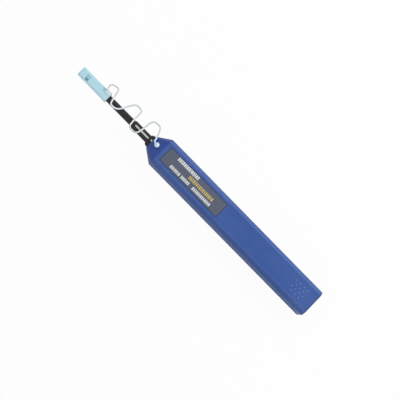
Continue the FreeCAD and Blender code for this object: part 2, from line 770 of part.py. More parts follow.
def make_feed_pinion():
    body = new_body("feed_pinion", ("take_up_centre", "0", "gear_bottom"))
    pad(body, add_circle(new_sketch(body, "XY_Plane"), "gear_root_radius"), "gear_width")
    flanks = involute_flank(1) + involute_flank(-1)[::-1]
    tooth = pad(body, add_outline(new_sketch(body, "XY_Plane"), flanks), "gear_width")
    copy_around(body, tooth, "Z_Axis", "gear_teeth")
    post(body, "Pocket", "post_radius + fit_gap", "0", "0", ("-1", "gear_width + 1"))


def make_reel(name, centre, radius, pack):
    """A spool with three windows in its flanges, and the thread wound on it as one solid."""
    body = new_body(name + "_reel", (centre, "0", "reel_bottom"))
    hole = "post_radius + fit_gap"
    turned_outline(body, [
        (hole, "0"), (radius, "0"), (radius, "reel_flange"), ("hub_radius", "reel_flange"),
        ("hub_radius", "reel_height - reel_flange"), (radius, "reel_height - reel_flange"),
        (radius, "reel_height"), (hole, "reel_height"),
    ], axis="V_Axis")
    middle = f"({radius} + hub_radius) / 2"
    window = post(body, "Pocket", f"({radius} - hub_radius) * 0.3", middle, "0",
                  ("-1", "reel_height + 1"))
    copy_around(body, window, "Z_Axis", 3)

    roll = new_body(name + "_roll", (centre, "0", "reel_bottom"))
    turned_outline(roll, [
        ("hub_radius", "reel_flange"), (pack, "reel_flange"), (pack, "reel_height - reel_flange"),
        ("hub_radius", "reel_height - reel_flange"),
    ], axis="V_Axis")


# ---------------------------------------------------------------- cam barrel and cleaning tip

def make_cam_barrel():
    """A barrel whose helical groove turns it half round over the push stroke.

    The shaft slides in its bore on two keys, so that the nozzle can be drawn out.
    """
    body = new_body("cam_barrel", ("barrel_rear", "0", "axis_height"))
    rear = "-bearing_wall - end_play"
    front = "barrel_length + bearing_wall + end_play"
    turned_outline(body, [
        (rear, "barrel_bore"), (front, "barrel_bore"), (front, "journal_radius"),
        ("barrel_length", "journal_radius"), ("barrel_length", "barrel_radius"), ("0", "barrel_radius"),
        ("0", "journal_radius"), (rear, "journal_radius"),
    ])
    keyway = add_rectangle(new_sketch(body, "YZ_Plane", f"{rear} - 1"),
                           *both_ways("key_width / 2 + fit_gap"), *both_ways("key_radius + fit_gap"))
    pocket(body, keyway, f"({front}) - ({rear}) + 2")
    # the groove runs past both ends of the stroke, so that the follower never meets its end faces
    overrun = "groove_overrun * groove_lead / 360"
    middle = f"(groove_start - {overrun})"
    profile = add_rectangle(new_sketch(body, "XZ_Plane", turn=(ALONG, "-groove_overrun")),
                            f"{middle} - groove_width / 2", f"{middle} + groove_width / 2",
                            "barrel_radius - groove_depth", "barrel_radius + 1")
    feature(body, "SubtractiveHelix", profile, ReferenceAxis=(profile, ["H_Axis"]), Mode=0,
            Pitch="groove_lead", Height=f"push_stroke + 2 * {overrun}")


def make_tip_shaft():
    """The rod that carries the thread to the ferrule: flats for the thread, a blade at its end."""
    body = new_body("tip_shaft", ("0", "0", "axis_height"))
    turned_outline(body, [
        ("shaft_rear", "0"), ("probe_front", "0"), ("probe_front", "probe_radius - slide_gap"),
        ("probe_front - slide_gap", "probe_radius"), ("shaft_step + shaft_taper", "probe_radius"),
        ("shaft_step", "shaft_radius"), ("shaft_rear", "shaft_radius"),
    ])
    reach = "shaft_radius + 1"
    for side in (1, -1):
        for rear, front, flat in (("shaft_rear - 1", "shaft_step", "shaft_flat"),
                                  ("shaft_step", "probe_front + 1", "probe_flat")):
            low, high = sorted((f"{side} * {flat}", f"{side} * ({reach})"), key=value)
            block(body, "Pocket", (rear, front), (low, high), both_ways(reach))
    block(body, "Pad", ("shaft_rear", "shaft_rear + 4 * key_width"), both_ways("key_width / 2"),
          both_ways("key_radius"))


def rounded_path(points, radii):
    """A wire of straight runs joined by tangent arcs, with one radius for each inner corner."""
    edges, start = [], points[0]
    for before, corner, after, radius in zip(points, points[1:], points[2:], radii):
        inward = (before - corner).normalize()
        outward = (after - corner).normalize()
        half_turn = (math.pi - inward.getAngle(outward)) / 2
        reach = radius * math.tan(half_turn)
        middle = corner + (inward + outward).normalize() * (radius / math.cos(half_turn) - radius)
        first, last = corner + inward * reach, corner + outward * reach
        if (first - start).Length > 1e-6:
            edges.append(Part.LineSegment(start, first).toShape())
        edges.append(Part.Arc(first, middle, last).toShape())
        start = last
    edges.append(Part.LineSegment(start, points[-1]).toShape())
    return Part.Wire(edges)


def widest_bends(points):
    """The largest tangent radius at each inner corner that the shorter run beside it allows."""
    radii = []
    for before, corner, after in zip(points, points[1:], points[2:]):
        runs = before - corner, after - corner
        half_turn = (math.pi - runs[0].getAngle(runs[1])) / 2
        radii.append(0.45 * min(runs[0].Length, runs[1].Length) / math.tan(half_turn))
    return radii


def round_tube(path, radius):
    """A solid tube along a wire."""
    edge = path.OrderedEdges[0]
    start = edge.valueAt(edge.FirstParameter)
    ring = Part.Wire(Part.makeCircle(radius, start, edge.tangentAt(edge.FirstParameter)))
    return path.makePipeShell([ring], True, False)


def make_cleaning_thread():
    """The thread's route: supply reel, posts, along the shaft, over the blade and back to the take-up."""
    gap = value("thread_radius + fit_gap")
    bend = value("thread_bend")
    side, lane = value("thread_offset"), value("probe_lane")
    loop = lane * 0.98
    taper_rear = value("shaft_step - shaft_taper / 5")
    taper_front = value("tube_front - probe_length / 4")
    end = value("probe_front + thread_radius * 2")
    corners = [
        (value("first_bend"), -value("thread_lane"), bend),
        (value("second_bend"), -value("thread_lane"), bend),
        (value("third_bend"), -side, bend),
        (taper_rear, -side, bend), (taper_front, -lane, bend),
        (end, -lane, loop), (end, lane, loop),
        (taper_front, lane, bend), (taper_rear, side, bend),
        (value("third_bend"), side, bend),
    ]
    route = [Vector(value("supply_centre"), -value("supply_pack") - gap, 0)]
    route += [Vector(x, y, 0) for x, y, _ in corners]
    route.append(Vector(value("take_up_centre"), value("take_up_pack") + gap, 0))
    path = rounded_path(route, [radius for _, _, radius in corners])
    thread = doc.addObject("Part::Feature", "cleaning_thread")
    thread.Label = "cleaning_thread"
    thread.Shape = round_tube(path, value("thread_radius"))
    thread.Placement = FreeCAD.Placement(Vector(0, 0, value("axis_height")), FreeCAD.Rotation())


# ---------------------------------------------------------------- nozzle

def make_nozzle_sleeve():
    body = new_body("nozzle_sleeve", ("0", "0", "axis_height"))
    outer = "sleeve_diameter / 2"
    inner = "tube_diameter / 2 + slide_gap"
    turned_outline(body, [
        ("sleeve_rear", "tube_bore"), ("flange_front", "tube_bore"), ("flange_front", inner),
        ("sleeve_front", inner), ("sleeve_front", f"{outer} - edge_chamfer"),
        ("sleeve_front - edge_chamfer", outer), ("flange_front", outer),
        ("flange_front", "sleeve_flange_radius"), ("sleeve_rear", "sleeve_flange_radius"),
    ])
    half = "slot_width / 2"
    slot = add_outline(new_sketch(body, "XY_Plane", "0"), [
        ("slot_rear", f"-{half}"), ("slot_front", f"-{half}"), ("slot_front + slot_taper", "0"),
        ("slot_front", half), ("slot_rear", half),
    ])
    pocket(body, slot, "sleeve_diameter")


def make_nozzle_tube():
    """The thin front tube; it slides in the sleeve and ends in a nose that enters an adapter."""
    body = new_body("nozzle_tube", ("0", "0", "axis_height"))
    outer, nose = "tube_diameter / 2", "nose_diameter / 2"
    turned_outline(body, [
        ("tube_rear", "tube_bore"), ("shaft_step", "tube_bore"),
        ("tube_front - probe_length / 4", "nose_bore"), ("tube_front", "nose_bore"),
        ("tube_front", f"{nose} - edge_chamfer"), ("tube_front - edge_chamfer", nose),
        ("nose_rear", nose), ("nose_rear - edge_chamfer", outer), ("tube_rear", outer),
    ])
    top = f"{outer} - slider_depth"
    block(body, "Pocket", ("slider_rear - fit_gap", "slider_rear + slider_length + fit_gap"),
          both_ways("slider_width / 2 + fit_gap"), (f"{top} - fit_gap", "tube_diameter"))
    post(body, "Pocket", "button_radius + slide_gap", "button_place", "0", ("0", "tube_diameter"))


def make_extension_slider():
    """The pale strip on the tube that shows in the sleeve's slot and carries the lock button."""
    body = new_body("extension_slider", ("0", "0", "axis_height"))
    low, half = "tube_diameter / 2 - slider_depth", "slider_width / 2"
    edge = "sqrt(pow(tube_diameter / 2; 2) - pow(slider_width / 2; 2))"
    section = add_outline(new_sketch(body, "YZ_Plane", "slider_rear"), [
        (f"-{half}", low), (half, low), (half, edge), (f"{half} / 2", "tube_diameter / 2 - fit_gap"),
        (f"-{half} / 2", "tube_diameter / 2 - fit_gap"), (f"-{half}", edge),
    ])
    pad(body, section, "slider_length")
    post(body, "Pocket", "button_radius + fit_gap", "button_place", "0", ("0", "tube_diameter"))


def make_lock_button():
    body = new_body("lock_button", ("button_place", "0", "axis_height"))
    stand = "sleeve_diameter / 2 + button_stand"
    stem = post(body, "Pad", "button_radius", "0", "0", ("tube_diameter / 2 - button_depth", stand))
    dress(body, "Fillet", stem, "button_radius / 3", lambda edge: lies_at(edge, UP, stand))


# ---------------------------------------------------------------- cap

def make_cap_body():
    body = new_body("cap_body", ("0", "0", "axis_height"))
    half, band = "cap_half", "cap_half + cap_band"
    main = add_rectangle(new_sketch(body, "YZ_Plane", "cap_rear"), *both_ways(half), *both_ways(half))
    pad(body, main, "cap_length - lid_thickness - fit_gap")
    rear = add_rectangle(new_sketch(body, "YZ_Plane", "cap_rear"), *both_ways(band), *both_ways(band))
    banded = pad(body, rear, "cap_band_length")
    dress(body, "Fillet", banded, "cap_corner", lambda edge: runs_along(edge, ALONG))
    bore(body, "Pocket", "tube_diameter / 2 + fit_gap", "0", ("cap_rear - 1", "cap_front"))
    # the lid's latch lies in a recess along the back
    block(body, "Pocket", ("lid_rear - latch_length - fit_gap * 2", "cap_front"),
          both_ways("latch_width / 2 + fit_gap"), ("-cap_width", "-cap_half + latch_thickness + fit_gap"))
    block(body, "Pocket", ("window_centre - window_length / 2", "window_centre + window_length / 2"),
          ("-window_width * window_share", "window_width * (1 - window_share)"), ("0", "cap_width"))
    # a blind hole in the side takes the pin of the tether's lug
    hole = add_circle(new_sketch(body, "XZ_Plane", "cap_half - lug_pin_depth - fit_gap"),
                      "lug_pin_radius + fit_gap / 5", ("lug_rear + lug_length / 2", "0"))
    pocket(body, hole, "cap_width")


def make_ferrule_guide():
    """The insert that leads a 1.25 mm ferrule to the thread, with the tooth that snaps in the window."""
    body = new_body("ferrule_guide", ("0", "0", "axis_height"))
    outer = "tube_diameter / 2"
    front = "lid_rear - slide_gap"
    turned_outline(body, [
        ("guide_rear", "funnel_radius"), ("guide_rear + funnel_length", "ferrule_bore"),
        (f"{front} - funnel_length * 0.7", "ferrule_bore"), (front, "funnel_radius"),
        (front, outer), ("guide_rear", outer),
    ])
    block(body, "Pad", ("window_centre - tooth_length / 2", "window_centre + tooth_length / 2"),
          both_ways("tooth_width / 2"), ("ferrule_bore * 2", "cap_half - slide_gap"))


def make_cap_lid():
    """A flip lid at the tip, hinged along the front top edge, with a latch tongue on the back."""
    body = new_body("cap_lid", ("0", "0", "axis_height"))
    half = "cap_half"
    face = add_rectangle(new_sketch(body, "YZ_Plane", "lid_rear"), *both_ways(half), *both_ways(half))
    plate = pad(body, face, "lid_thickness")
    dress(body, "Fillet", plate, "cap_corner", lambda edge: runs_along(edge, ALONG))
    block(body, "Pad", ("lid_rear - latch_length", "lid_rear + lid_thickness / 2"),
          both_ways("latch_width / 2"), (f"-{half}", f"latch_thickness - {half}"))


# ---------------------------------------------------------------- tether

def make_tether():
    """The cap's moulded strap: a lug pinned in the cap, three standing waves, and a ball peg.

    The waves stand in front of the nozzle. Each of their corners is a share of the way from the cap
    back to the casing, a share of the widest swing, and a share of the climb to the ball.
    """
    radius = value("tether_diameter / 2")
    front, rear = value("cap_rear"), value("neck_front")
    level, swing = value("sleeve_top + strap_lift"), value("strap_swing")
    side = -value("cap_half + cap_band + fit_gap")
    thickness, height = value("lug_thickness"), value("lug_height")
    slope = math.atan2(value("(casing_depth - neck_height) / 2"), value("shoulder_length"))
    normal = Vector(math.sin(slope), 0, math.cos(slope))
    seat = Vector(value("peg_x"), 0, value("peg_z"))
    ball_radius = value("ball_diameter / 2")
    ball_centre = seat + normal * ball_radius * 0.75

    strand_start = Vector(value("lug_rear + lug_length") - radius * 1.6, side - thickness / 2, level)
    waves = [
        (-0.14, -0.43, 0), (-0.13, -0.62, 0), (-0.06, -0.72, 0), (0.014, -0.74, 0), (0.037, -0.43, 0),
        (0.072, -0.05, 0), (0.095, 0.22, 0), (0.188, 0.22, 0), (0.253, 0.075, 0), (0.30, -0.235, 0),
        (0.351, -0.60, 0), (0.402, -0.865, 0), (0.514, -0.865, 0), (0.549, -0.715, 0), (0.544, -0.30, 0),
        (0.56, 0.10, 0), (0.579, 0.35, 0), (0.672, 0.40, 0), (0.735, 0.285, 0), (0.756, -0.135, 0),
        (0.765, -0.585, 0), (0.788, -0.915, 0), (0.905, -0.965, 0.05), (0.956, -0.85, 0.15),
        (0.991, -0.50, 0.3), (1.023, -0.215, 0.55),
    ]
    run, climb = front - rear, ball_centre.z - level
    route = [strand_start]
    route += [Vector(front - x * run, y * swing, level + z * climb) for x, y, z in waves]
    route.append(ball_centre + Vector(ball_radius / 2, -ball_radius / 2, 0))
    strand = round_tube(rounded_path(route, widest_bends(route)), radius)

    # the lug lies along the cap's side, with its pin in the cap and an arm up to the strand
    lug = Part.makeBox(value("lug_length"), thickness, height,
                       Vector(value("lug_rear"), side - thickness, value("axis_height") - height / 2))
    pin_reach = -side - value("cap_half") + value("lug_pin_depth")
    pin_foot = Vector(value("lug_rear + lug_length / 2"), side, value("axis_height"))
    pin = Part.makeCylinder(value("lug_pin_radius"), pin_reach, pin_foot, ACROSS)
    arm = Part.makeBox(radius * 2, thickness, level + radius - value("axis_height"),
                       Vector(strand_start.x - radius, side - thickness, value("axis_height")))
    lug = lug.fuse([pin, arm])

    ball = Part.makeSphere(ball_radius, ball_centre)
    below = Part.makeCylinder(ball_radius * 2, ball_radius * 2, seat, normal * -1)
    stem_length = value("casing_wall * 1.2")
    stem = Part.makeCylinder(value("stem_radius"), stem_length, seat - normal * stem_length, normal)
    ball = ball.cut(below).fuse(stem)

    tether = doc.addObject("Part::Feature", "tether")
    tether.Label = "tether"
    tether.Shape = strand.fuse([lug, ball]).removeSplitter()


make_front_shell()
make_back_shell()
make_nose_collar()
make_label()
make_follower_pin()
make_return_spring()
make_carriage()
make_carriage_cover()
make_feed_pinion()
make_reel("supply", "supply_centre", "supply_radius", "supply_pack")
make_reel("take_up", "take_up_centre", "take_up_radius", "take_up_pack")
make_cam_barrel()
make_tip_shaft()
make_cleaning_thread()
make_nozzle_sleeve()
make_nozzle_tube()
make_extension_slider()
make_lock_button()
make_cap_body()
make_ferrule_guide()
make_cap_lid()
make_tether()

SUBPARTS = [
    "front_shell", "back_shell", "nose_collar", "label", "follower_pin", "return_spring", "tether",
    "carriage", "carriage_cover", "nozzle_sleeve", "feed_pinion", "take_up_reel", "take_up_roll",
    "supply_reel", "supply_roll", "cam_barrel", "cleaning_thread", "tip_shaft", "nozzle_tube",
    "extension_slider", "lock_button", "cap_body", "ferrule_guide", "cap_lid",
]

doc.recompute()
failed = [item.Label for item in doc.Objects if {"Invalid", "Error"} & set(item.State)]
if failed:
    raise RuntimeError("features that did not build: " + ", ".join(failed))

os.makedirs("parts", exist_ok=True)
for label in SUBPARTS:
    subpart = doc.getObjectsByLabel(label)[0]
    shape = subpart.Shape
    if shape.isNull() or not shape.isValid() or not shape.Solids:
        raise RuntimeError(label + " has no valid shape")
    shape.exportStep(f"parts/{label}.step")
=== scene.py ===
# %% [markdown]
# # A fibre connector cleaning pen
# The pen cleans the end of a 1.25 mm fibre ferrule. A long blue casing holds reels of thread; a
# black nozzle carries the thread to the connector, and a pale cap hangs on a thin moulded strap.
# The rigid pieces come finished from the CAD part and only need their surfaces. This script adds
# what a CAD solid does badly: the smooth wavy strap, the ink on the label, the film hinge and the
# soft light.

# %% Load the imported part
import json
import math

import bpy
from mathutils import Matrix, Vector


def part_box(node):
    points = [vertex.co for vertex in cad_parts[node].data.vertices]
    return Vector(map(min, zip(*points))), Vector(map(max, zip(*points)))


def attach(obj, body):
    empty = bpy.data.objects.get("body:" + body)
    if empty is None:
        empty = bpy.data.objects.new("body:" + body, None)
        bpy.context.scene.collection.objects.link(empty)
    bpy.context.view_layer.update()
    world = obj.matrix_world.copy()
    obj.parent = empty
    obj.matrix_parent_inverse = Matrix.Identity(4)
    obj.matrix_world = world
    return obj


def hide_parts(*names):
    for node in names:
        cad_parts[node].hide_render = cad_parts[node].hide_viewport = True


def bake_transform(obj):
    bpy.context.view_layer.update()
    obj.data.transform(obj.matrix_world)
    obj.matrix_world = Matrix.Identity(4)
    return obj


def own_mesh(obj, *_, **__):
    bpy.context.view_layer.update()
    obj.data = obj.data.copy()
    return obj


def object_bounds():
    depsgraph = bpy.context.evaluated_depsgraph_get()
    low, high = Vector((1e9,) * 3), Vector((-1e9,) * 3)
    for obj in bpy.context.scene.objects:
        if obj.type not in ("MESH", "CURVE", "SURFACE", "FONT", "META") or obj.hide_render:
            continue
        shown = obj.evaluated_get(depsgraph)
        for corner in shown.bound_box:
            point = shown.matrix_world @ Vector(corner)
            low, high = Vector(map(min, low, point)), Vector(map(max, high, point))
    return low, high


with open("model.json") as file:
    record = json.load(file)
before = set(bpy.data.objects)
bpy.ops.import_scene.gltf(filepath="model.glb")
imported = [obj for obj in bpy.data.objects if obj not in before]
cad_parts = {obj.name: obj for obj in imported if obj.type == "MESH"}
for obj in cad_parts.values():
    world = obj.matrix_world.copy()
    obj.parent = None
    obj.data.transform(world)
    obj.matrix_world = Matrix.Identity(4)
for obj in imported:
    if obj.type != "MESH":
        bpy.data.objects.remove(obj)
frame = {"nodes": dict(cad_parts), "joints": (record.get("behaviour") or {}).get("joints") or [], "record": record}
cad_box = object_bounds()
MM = 0.001
print("pen", [round(high - low, 4) for low, high in zip(*cad_box)])

# %% [markdown]
# ## Where things are
# Places in this script start from the boxes of the CAD nodes, so that the new pieces sit where
# the part says. The ones used most are read once here and given plain names. Lengths are in
# metres, and a number times MM is a number of millimetres.

# %% Places taken from the part
nozzle_low, nozzle_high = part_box("nozzle_tube")
casing_low, casing_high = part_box("front_shell")
cap_low, cap_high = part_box("cap_body")
lid_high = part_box("cap_lid")[1]
label_low, label_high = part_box("label")
axis_height = (nozzle_low.z + nozzle_high.z) / 2
neck_front, cap_rear = casing_high.x, cap_low.x
shoulder_length, shoulder_rise = 9.6 * MM, 4.15 * MM
shoulder = neck_front - shoulder_length


def travel(joint):
    """How far a sliding joint moves, from the part's own record."""
    return next(row for row in frame["joints"] if row["name"] == joint)["range_m"][1]


print("axis height", round(axis_height, 5), "cap rear", round(cap_rear, 5))

# %% [markdown]
# ## Working with selected parts
# Blender's operators act on whatever is selected, and a freshly loaded part is selected all over.
# So each tool below first clears the selection, then picks its own faces or edges by their place.

# %% Selection helpers
def only(obj):
    """Make one object the selected and active one."""
    if bpy.context.mode != "OBJECT":
        bpy.ops.object.mode_set(mode="OBJECT")
    bpy.ops.object.select_all(action="DESELECT")
    obj.select_set(True)
    bpy.context.view_layer.objects.active = obj
    return obj


def pick(obj, kind, test):
    """Select the faces or edges of a mesh whose centre (and normal, for a face) pass a test."""
    only(obj)
    mesh = obj.data
    for group in (mesh.vertices, mesh.edges, mesh.polygons):
        group.foreach_set("select", [False] * len(group))
    if kind == "FACE":
        found = [face for face in mesh.polygons if test(face.center, face.normal)]
    else:
        corners = mesh.vertices
        found = [edge for edge in mesh.edges
                 if test(*(corners[index].co for index in edge.vertices))]
    for item in found:
        item.select = True
    bpy.ops.object.mode_set(mode="EDIT")
    bpy.ops.mesh.select_mode(type=kind)


def settle(obj, name, smooth=35):
    """Leave edit mode, apply the object's place to its mesh, smooth edges under this angle."""
    only(obj)
    bpy.ops.object.transform_apply(location=True, rotation=True, scale=True)
    bpy.ops.object.shade_smooth_by_angle(angle=math.radians(smooth))
    obj.name = obj.data.name = name
    return obj


def box_piece(low, high):
    """A cube primitive stretched between two corners."""
    low, high = Vector(low), Vector(high)
    bpy.ops.mesh.primitive_cube_add(size=1, location=(low + high) / 2, scale=high - low)
    made = only(bpy.context.object)
    bpy.ops.object.transform_apply(location=True, rotation=True, scale=True)
    return made


def soften(obj, width):
    """Round every edge of a piece with an applied bevel."""
    only(obj)
    rounding = obj.modifiers.new("rounding", "BEVEL")
    rounding.width, rounding.segments = width, 3
    bpy.ops.object.modifier_apply(modifier=rounding.name)


# %% [markdown]
# ## Shader arithmetic
# A finish is a recipe of nodes. Writing each node by hand hides the idea, so one small class
# wraps a node's output and lets Python's own + - * add the Math nodes. A mask then reads like a
# formula.

# %% A value inside a finish
class Value:
    """One output of a node; arithmetic on it adds Math nodes."""

    def __init__(self, finish, socket):
        self.finish, self.socket = finish, socket

    def math(self, operation, *others):
        sockets = dict(enumerate((self, *others)))
        return self.finish.add("ShaderNodeMath", {"operation": operation}, sockets)

    def __add__(self, other):
        return self.math("ADD", other)

    def __sub__(self, other):
        return self.math("SUBTRACT", other)

    def __rsub__(self, other):
        return self.math("MULTIPLY_ADD", -1.0, other)

    def __mul__(self, other):
        return self.math("MULTIPLY", other)

    def __abs__(self):
        return self.math("ABSOLUTE")

    __radd__, __rmul__ = __add__, __mul__

    def upto(self, other):
        return self.math("MINIMUM", other)

    def atleast(self, other):
        return self.math("MAXIMUM", other)

    def fade(self, full, none):
        """1 where the value is at full, 0 at none, and a smooth step between."""
        settings = {"interpolation_type": "SMOOTHSTEP"}
        return self.finish.add("ShaderNodeMapRange", settings,
                               {"Value": self, "From Min": none, "From Max": full})


# %% A finish, with its places, noises and mixes
class Finish:
    """A material's node tree, or the world's, with one method that adds any node."""

    def __init__(self, owner, **uniform):
        owner.use_nodes = True
        self.material, self.tree = owner, owner.node_tree
        self.shader = self.tree.nodes.get("Principled BSDF")
        for name, number in uniform.items():
            self.shader.inputs[name.replace("_", " ")].default_value = number

    def add(self, kind, settings=(), sockets=(), output=0):
        """A new node with its settings and sockets; gives back one of its outputs."""
        node = self.tree.nodes.new(kind)
        for name, setting in dict(settings).items():
            setattr(node, name, setting)
        for name, given in dict(sockets).items():
            self.feed(node.inputs[name], given)
        return Value(self, node.outputs[output])

    def feed(self, socket, given):
        """Link a value to a socket, or write a plain number or colour on it."""
        if isinstance(given, Value):
            self.tree.links.new(given.socket, socket)
        elif socket.type == "RGBA":
            socket.default_value = (*given, 1.0)
        else:
            socket.default_value = given

    def shape(self, **given):
        """Feed the shader's varying sockets, such as Base_Color or Roughness."""
        for name, value in given.items():
            self.feed(self.shader.inputs[name.replace("_", " ")], value)
        return self.material

    def place(self):
        return self.add("ShaderNodeTexCoord", output="Object")

    def along(self):
        """The piece's own x, y and z as three values."""
        split = self.add("ShaderNodeSeparateXYZ", (), {"Vector": self.place()})
        return [Value(self, socket) for socket in split.socket.node.outputs]

    def stretched(self, x, y, z):
        """The place, scaled along each axis; a small scale draws a noise out into streaks."""
        return self.add("ShaderNodeMapping", (), {"Vector": self.place(), "Scale": (x, y, z)})

    def noise(self, size, detail=3.0, place=None):
        """Noise whose lumps are about this many metres across."""
        return self.add("ShaderNodeTexNoise", {"noise_dimensions": "3D"},
                        {"Vector": place or self.place(), "Scale": 1 / size, "Detail": detail})

    def mix(self, share, first, second):
        """The first colour where the share is 0, and the second where it is 1."""
        settings = {"data_type": "RGBA", "clamp_factor": True}
        return self.add("ShaderNodeMix", settings, {0: share, 6: first, 7: second}, output=2)

    def relief(self, height, depth, strength=1.0):
        """A Bump node for the shader's Normal."""
        sockets = {"Strength": strength, "Distance": depth, "Height": height}
        return self.add("ShaderNodeBump", (), sockets)


def finish(name, **uniform):
    """A new material's finish, with values that are the same all over."""
    return Finish(bpy.data.materials.new(name), **uniform)


# %% [markdown]
# ## Moulded plastics
# Most of the pen is injection moulded. Such a surface is never one flat colour: the steel mould
# is spark eroded, which leaves a fine grain, and the melt flows with clouds and faint streaks.
# One function makes these three noises, and each plastic gives its own colours, grain and gloss.

# %% Moulded plastic
def moulding(name, grain=0.35 * MM, streak=6 * MM, **uniform):
    """A finish with a moulding's noises: its pits, its clouds, and its share of the light tone."""
    made = finish(name, **uniform)
    flow = made.noise(streak, 2.0, made.stretched(0.25, 1, 1))
    made.cloud, made.pits = made.noise(streak / 3, 3.0), made.noise(grain, 2.0)
    made.share = (flow * 0.6 + made.cloud * 0.4).fade(0.68, 0.32)
    return made


def grained(made, colour, rough, depth=0.012 * MM):
    """Give a moulding its colour, its pits and a roughness that wanders a little."""
    wander = made.cloud * 0.10 + made.pits * 0.06
    return made.shape(Base_Color=colour, Roughness=wander + (rough - 0.08),
                      Normal=made.relief(made.pits, depth, 0.6))


def plain_plastic(name, dark, light, rough, **settings):
    """A plastic that only changes between two near tones."""
    made = moulding(name, **settings)
    return grained(made, made.mix(made.share, dark, light), rough)


collar_black = plain_plastic("black nylon collar", (0.008, 0.008, 0.008), (0.022, 0.020, 0.017),
                             0.46, Specular_IOR_Level=0.28)
nozzle_black = plain_plastic("black acetal nozzle", (0.015, 0.014, 0.018), (0.027, 0.025, 0.031),
                             0.40, grain=0.25 * MM, streak=9 * MM, Specular_IOR_Level=0.28)
white_acetal = plain_plastic("white acetal", (0.84, 0.85, 0.86), (0.92, 0.92, 0.93), 0.32,
                             grain=0.2 * MM)
natural_nylon = plain_plastic("natural nylon", (0.62, 0.61, 0.56), (0.72, 0.71, 0.66), 0.45)
guide_blue = plain_plastic("pale blue ferrule guide", (0.28, 0.60, 0.68), (0.38, 0.72, 0.80), 0.34)
plain_plastics = (collar_black, nozzle_black, white_acetal, natural_nylon, guide_blue)
print("plastics", [material.name for material in plain_plastics])

# %% [markdown]
# ## The blue casing
# The casing is satin ABS with long bevels. Its upper edges are lighter in a thin broken line, partly
# wear from hands and pockets and partly a painted edge highlight. The shoulder is painted a deeper
# blue as painted shade, and painted shade also darkens the low sides, the lower bevel edges and the
# tail end; the parting line shows as a fine groove. All of this follows the piece's own
# coordinates, because its edges run straight along the pen.

# %% Blue casing plastic
casing_bevel = 2.8 * MM
dark_blue, light_blue = (0.016, 0.076, 0.315), (0.042, 0.104, 0.360)
# Painted light: the deeper shoulder blue is painted shade, the light edge blue is partly wear and partly a painted
# edge highlight, and the dark blue of the low sides and tail is painted shade.
shoulder_shade_blue, worn_and_lit_blue = (0.008, 0.040, 0.270), (0.13, 0.23, 0.52)
painted_shade_blue, seam_blue = (0.018, 0.034, 0.100), (0.02, 0.05, 0.18)


def casing_plastic():
    made = moulding("blue casing plastic", grain=0.4 * MM, streak=14 * MM)
    x, y, z = made.along()
    side, half, top = abs(y), casing_high.y, casing_high.z

    broken = made.noise(2.2 * MM, 4.0).fade(0.62, 0.40)
    # The light line along the upper edges is partly wear and partly a painted edge highlight.
    upper_edge = abs(side - (half - casing_bevel)) + abs(z - top)
    wear_and_edge_light = upper_edge.fade(0.05 * MM, 0.45 * MM) * (broken * 0.5 + 0.5) * 0.6
    scratch = made.noise(0.5 * MM, 2.0, made.stretched(0.04, 1, 1)).fade(0.74, 0.70) * 0.12

    # Painted shade: the low sides, the lower bevel edges and the tail end are darkened in the colour.
    lower_edge = abs(side - half) + abs(z - (top - casing_bevel))
    inward = (half - side).upto(top - z).upto(z)
    tail = (x - casing_low.x).fade(0.6 * MM, 1.5 * MM) * inward.fade(0.4 * MM, 2.4 * MM)
    low = z.fade(2.4 * MM, 4.6 * MM).atleast(lower_edge.fade(0.2 * MM, 0.7 * MM) * 0.7)
    painted_shade = low.atleast(tail) * (broken * 0.25 + 0.6)
    seam = abs(z - axis_height).fade(0.03 * MM, 0.11 * MM)

    broad = made.noise(38 * MM, 1.0).fade(0.62, 0.38)
    mottled_blue = made.mix(made.share * 0.5 + broad * 0.5, dark_blue, light_blue)
    # Painted shade: the shoulder is painted a deeper blue.
    front = x.fade(shoulder + 0.4 * MM, shoulder - 0.4 * MM)
    body = made.mix(front * 0.75, mottled_blue, shoulder_shade_blue)
    # Wear, scratches and a painted edge highlight lighten the colour here.
    lightened = made.mix((wear_and_edge_light + scratch).upto(1.0), body, worn_and_lit_blue)
    shaded_casing = made.mix(painted_shade, lightened, painted_shade_blue)
    return made.shape(Base_Color=made.mix(seam * 0.5, shaded_casing, seam_blue),
                      Roughness=made.cloud * 0.12 + 0.33 - wear_and_edge_light * 0.15,
                      Normal=made.relief(made.pits * 0.5 - seam * 3, 0.03 * MM, 0.5))


casing_blue = casing_plastic()
print("made", casing_blue.name)

# %% [markdown]
# ## The label's vinyl and inks
# The label is printed vinyl laid in a shallow recess: matt slate with a very fine leather-like
# grain, and a darker band of painted shade along its rim, where its edge turns down. Its print
# stays generic, plain bars in white and amber.

# %% Label vinyl and two inks
def label_vinyl():
    made = finish("slate vinyl label", Coat_Weight=0.1, Coat_Roughness=0.5)
    x, y, z = made.along()
    grain, mottle = made.noise(0.25 * MM, 2.0), made.noise(1.6 * MM, 3.0)
    middle_x, half_x = (label_low.x + label_high.x) / 2, (label_high.x - label_low.x) / 2
    inside = (half_x - abs(x - middle_x)).upto(label_high.y - abs(y))
    # Painted shade: a darker band is painted round the label's edge.
    rim = inside.fade(0.3 * MM, 0.8 * MM)
    slate = made.mix(mottle * 0.6 + grain * 0.4, (0.067, 0.084, 0.126), (0.091, 0.107, 0.158))
    return made.shape(Base_Color=made.mix(rim * 0.9, slate, (0.012, 0.026, 0.080)),
                      Roughness=grain * 0.15 + 0.45, Normal=made.relief(grain, 0.01 * MM, 0.5))


def ink(name, thin, full):
    """Ink that lies thin in small patches."""
    made = finish(name)
    cover = made.noise(0.18 * MM, 2.0) * 0.5 + made.noise(1.2 * MM, 2.0) * 0.5
    return made.shape(Base_Color=made.mix(cover.fade(0.45, 0.30), thin, full),
                      Roughness=cover * 0.2 + 0.38, Normal=made.relief(cover, 0.006 * MM, 0.5))


label_slate = label_vinyl()
white_ink = ink("white label ink", (0.55, 0.57, 0.60), (0.82, 0.83, 0.85))
amber_ink = ink("amber label ink", (0.42, 0.33, 0.09), (0.62, 0.48, 0.13))
